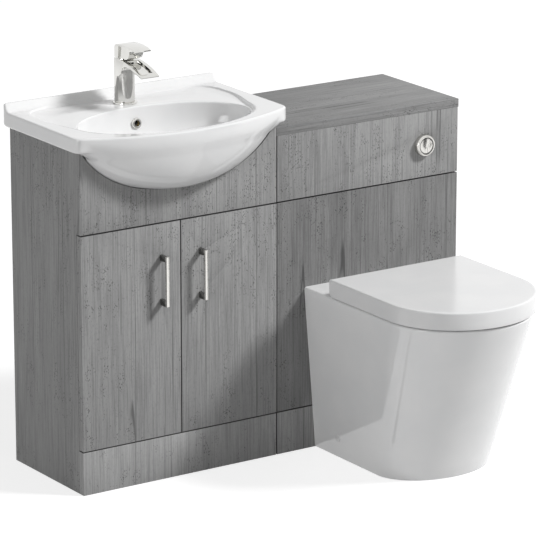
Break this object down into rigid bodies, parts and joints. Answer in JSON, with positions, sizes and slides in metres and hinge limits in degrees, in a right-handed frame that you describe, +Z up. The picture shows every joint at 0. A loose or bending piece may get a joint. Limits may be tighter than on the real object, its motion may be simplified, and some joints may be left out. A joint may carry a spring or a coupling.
{
  "type": "toilet and basin combination unit",
  "caption": "Grey vanity cabinet with ceramic basin and mixer tap beside a matching cabinet that hides the cistern of a back-to-wall toilet with soft wrap-over seat.",
  "frame": {"origin": "centre of the bounding box on the floor", "axes": "+X to the right along the fronts, from the basin to the toilet; +Y back to the wall; +Z up"},
  "size_m": [1.072, 0.8364, 0.9863],
  "materials": {
    "laminate": "matt grey laminate with a stone-like vertical grain",
    "ceramic": "white gloss glaze",
    "seat_plastic": "white gloss thermoset",
    "chrome": "polished",
    "steel": "nickel-plated",
    "brass": "machined",
    "black_plastic": "moulded",
    "tank_plastic": "moulded white",
    "rubber": "matt"
  },
  "bodies": {
    "unit_body": {"vanity_left_side": "laminate", "vanity_right_side": "laminate", "vanity_base": "laminate", "vanity_back_rail": "laminate", "vanity_front_rail": "laminate", "vanity_fascia": "laminate", "vanity_plinth": "laminate", "hinge_arms": "steel", "basin": "ceramic", "overflow_ring": "chrome", "tap_base_ring": "chrome", "tap_body": "chrome", "tap_cartridge": "tank_plastic", "tap_shank": "brass", "tap_backnut": "brass", "waste_body": "chrome", "waste_backnut": "black_plastic", "trap_body": "chrome", "trap_cup": "chrome", "trap_outlet": "chrome", "wc_left_side": "laminate", "wc_right_side": "laminate", "wc_base_rail": "laminate", "wc_front_rail": "laminate", "wc_back_rail": "laminate", "wc_fascia": "laminate", "wc_front_panel": "laminate", "wc_plinth": "laminate", "wc_worktop": "laminate", "flush_bezel": "chrome", "flush_nut": "black_plastic", "cistern_tank": "tank_plastic", "cistern_lid": "tank_plastic", "flush_valve": "tank_plastic", "fill_valve": "tank_plastic", "flush_pipe": "tank_plastic", "flush_pipe_seal": "rubber", "toilet_pan": "ceramic", "pan_connector": "rubber", "pan_brackets": "steel", "bolt_caps": "seat_plastic", "seat_hinges": "steel"},
    "door_left_body": {"door_left": "laminate", "handle_left": "chrome", "hinge_cups_left": "steel"},
    "door_right_body": {"door_right": "laminate", "handle_right": "chrome", "hinge_cups_right": "steel"},
    "tap_swivel_body": {"tap_spindle": "steel"},
    "tap_lever_body": {"tap_lever": "chrome"},
    "plug_body": {"waste_plug": "chrome"},
    "large_button_body": {"flush_button_large": "chrome"},
    "small_button_body": {"flush_button_small": "chrome"},
    "flush_lift_body": {"flush_valve_lift": "tank_plastic"},
    "float_body": {"fill_float": "tank_plastic"},
    "ring_body": {"seat_ring": "seat_plastic", "seat_lugs": "steel"},
    "lid_body": {"seat_lid": "seat_plastic", "lid_lugs": "steel"}
  },
  "joints": [
    {"name": "door_left_hinge", "type": "hinge", "parent": "unit_body", "child": "door_left_body", "pos_m": [-0.516, 0.10425, 0.36], "axis": [0, 0, -1], "range_deg": [0, 95]},
    {"name": "door_right_hinge", "type": "hinge", "parent": "unit_body", "child": "door_right_body", "pos_m": [0.0135, 0.10425, 0.36], "axis": [0, 0, 1], "range_deg": [0, 95]},
    {"name": "tap_swivel", "type": "hinge", "parent": "unit_body", "child": "tap_swivel_body", "pos_m": [-0.2505, 0.33525, 0.952], "axis": [0, 0, 1], "range_deg": [-45, 45]},
    {"name": "tap_lift", "type": "hinge", "parent": "tap_swivel_body", "child": "tap_lever_body", "pos_m": [-0.2505, 0.34325, 0.956], "axis": [-1, 0, 0], "range_deg": [0, 22]},
    {"name": "plug_lift", "type": "slide", "parent": "unit_body", "child": "plug_body", "axis": [0, 0, 1], "range_m": [0, 0.008]},
    {"name": "large_button_press", "type": "slide", "parent": "unit_body", "child": "large_button_body", "axis": [0, 1, 0], "range_m": [0, 0.004], "stiffness_N_per_m": 900, "springref_m": -0.002},
    {"name": "small_button_press", "type": "slide", "parent": "unit_body", "child": "small_button_body", "axis": [0, 1, 0], "range_m": [0, 0.004], "stiffness_N_per_m": 900, "springref_m": -0.002},
    {"name": "flush_valve_rise", "type": "slide", "parent": "unit_body", "child": "flush_lift_body", "axis": [0, 0, 1], "range_m": [0, 0.018]},
    {"name": "float_travel", "type": "slide", "parent": "unit_body", "child": "float_body", "axis": [0, 0, 1], "range_m": [-0.07, 0]},
    {"name": "seat_ring_hinge", "type": "hinge", "parent": "unit_body", "child": "ring_body", "pos_m": [0.2785, -0.02225, 0.424], "axis": [1, 0, 0], "range_deg": [-95, 0]},
    {"name": "seat_lid_hinge", "type": "hinge", "parent": "ring_body", "child": "lid_body", "pos_m": [0.2785, -0.02225, 0.424], "axis": [-1, 0, 0], "range_deg": [0, 97]}
  ]
}
